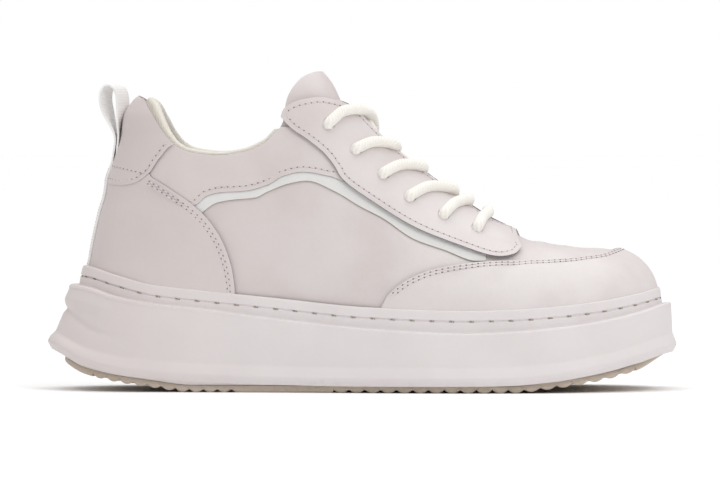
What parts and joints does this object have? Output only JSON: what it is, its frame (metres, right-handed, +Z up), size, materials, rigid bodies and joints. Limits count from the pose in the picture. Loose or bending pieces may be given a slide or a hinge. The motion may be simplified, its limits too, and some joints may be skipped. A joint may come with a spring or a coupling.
{
  "type": "platform sneaker",
  "caption": "Low lace-up leather sneaker on a thick ledged platform sole, with padded collar and tongue, rope lace and heel pull loop; right foot.",
  "frame": {"origin": "middle of the heel's flat spot, on the plane the sole stands on", "axes": "+X to the toe along the shoe, -Y to the outer (lateral) side, +Z up"},
  "size_m": [0.28, 0.108, 0.1414],
  "materials": {
    "tread": "matt tan rubber",
    "sole": "matt off-white moulded rubber with a finely ribbed ledge",
    "leather": "smooth fine-grained leather, pale warm grey",
    "edge_paint": "painted cut edge, mauve grey",
    "piping": "smooth cool white strip",
    "lining": "cream knitted lining",
    "webbing": "ribbed webbing",
    "lace": "twisted cream rope lace",
    "thread": "sewing thread"
  },
  "bodies": {
    "root": {"outsole": "tread", "cupsole": "sole", "insole": "lining", "upper": "leather", "tongue": "leather", "eyestay_lateral": "leather", "eyestay_medial": "leather", "heel_counter": "leather", "heel_tab": "leather", "toe_mudguard": "leather", "collar_lining": "lining", "pull_loop": "webbing", "lace_bar": "lace", "lace_cross_1": "lace", "lace_cross_2": "lace", "lace_cross_3": "lace", "lace_cross_4": "lace", "lace_cross_5": "lace"}
  },
  "joints": []
}
